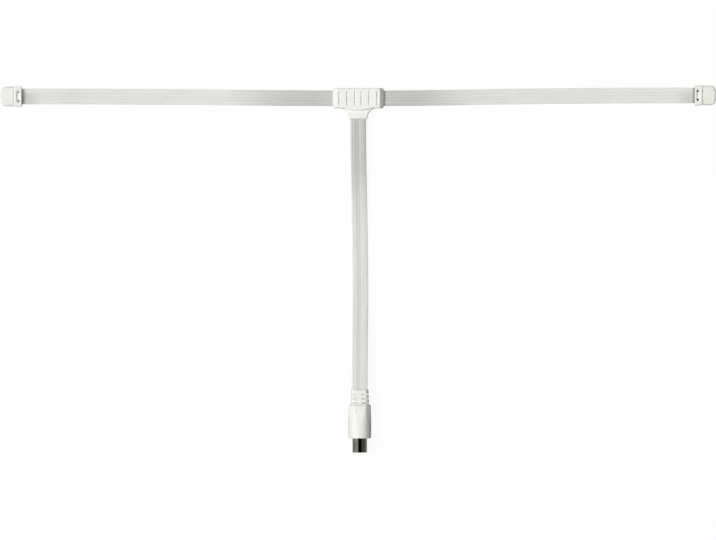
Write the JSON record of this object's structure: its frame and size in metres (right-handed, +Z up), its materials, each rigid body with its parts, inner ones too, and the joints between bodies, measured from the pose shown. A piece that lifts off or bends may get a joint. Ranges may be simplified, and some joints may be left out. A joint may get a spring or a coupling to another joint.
{
  "type": "indoor fm antenna",
  "caption": "T-shaped indoor radio antenna: flat ribbon arms with end caps, a ribbed junction block, and a ribbon feeder that ends in a moulded coax plug.",
  "frame": {"origin": "on the junction block's flat back face, under the dipole ribbon's centre line, at table level", "axes": "+X along the right arm, +Y away from the feeder in the table's plane, +Z up, out of the block's ribbed front"},
  "size_m": [0.4652, 0.2385, 0.015],
  "materials": {
    "moulded_plastic": "satin",
    "ribbon_plastic": "satin",
    "boot_plastic": "matte",
    "insulator_plastic": "matte",
    "plated_metal": "polished",
    "copper_wire": "bare",
    "solder": "bright"
  },
  "bodies": {
    "root": {"block_cover": "moulded_plastic", "block_tray": "moulded_plastic", "left_end_cap": "moulded_plastic", "right_end_cap": "moulded_plastic", "dipole_ribbon": "ribbon_plastic", "feeder_ribbon": "ribbon_plastic", "dipole_upper_wire": "copper_wire", "dipole_lower_wire_left": "copper_wire", "dipole_lower_wire_right": "copper_wire", "feeder_wire_left": "copper_wire", "feeder_wire_right": "copper_wire", "left_end_joint": "solder", "right_end_joint": "solder", "left_feed_joint": "solder", "right_feed_joint": "solder", "plug_boot": "boot_plastic", "plug_body": "moulded_plastic", "plug_sleeve": "plated_metal", "plug_insulator": "insulator_plastic", "plug_pin": "plated_metal", "plug_pin_joint": "solder", "plug_tag_joint": "solder"}
  },
  "joints": []
}
